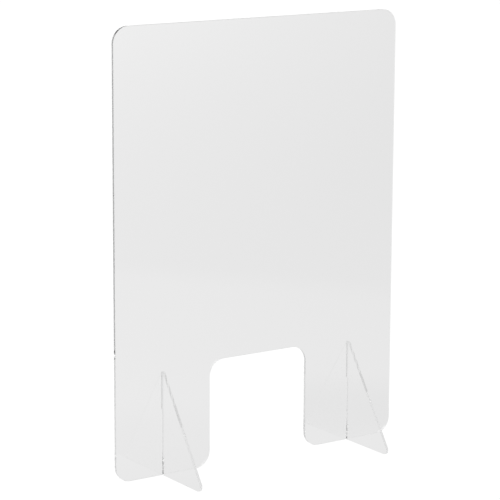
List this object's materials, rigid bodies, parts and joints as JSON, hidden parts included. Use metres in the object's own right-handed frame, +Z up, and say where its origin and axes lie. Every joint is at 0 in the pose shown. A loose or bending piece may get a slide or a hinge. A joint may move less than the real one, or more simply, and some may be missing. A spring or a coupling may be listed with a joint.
{
  "type": "desk privacy panel",
  "caption": "Free-standing clear acrylic desk panel with rounded corners and a pass-through at the desk, standing on triangular feet in cross-lap slots.",
  "frame": {"origin": "on the desk surface, under the middle of the panel's thickness and width", "axes": "+X along the panel towards its right side as seen by the visitor, -Y towards the visitor, +Z up"},
  "size_m": [0.6096, 0.254, 0.8128],
  "materials": {
    "clear_acrylic": "polished"
  },
  "bodies": {
    "left_foot": {"left_foot": "clear_acrylic"},
    "panel": {"panel": "clear_acrylic"},
    "right_foot": {"right_foot": "clear_acrylic"}
  },
  "joints": [
    {"name": "panel_lift", "type": "slide", "parent": "left_foot", "child": "panel", "axis": [0, 0, 1], "range_m": [0, 0.2]},
    {"name": "right_foot_release", "type": "slide", "parent": "panel", "child": "right_foot", "axis": [0, 0, -1], "range_m": [0, 0.2]}
  ],
  "couplings": [
    {"joint": "right_foot_release", "follows": "panel_lift", "ratio": 1}
  ]
}
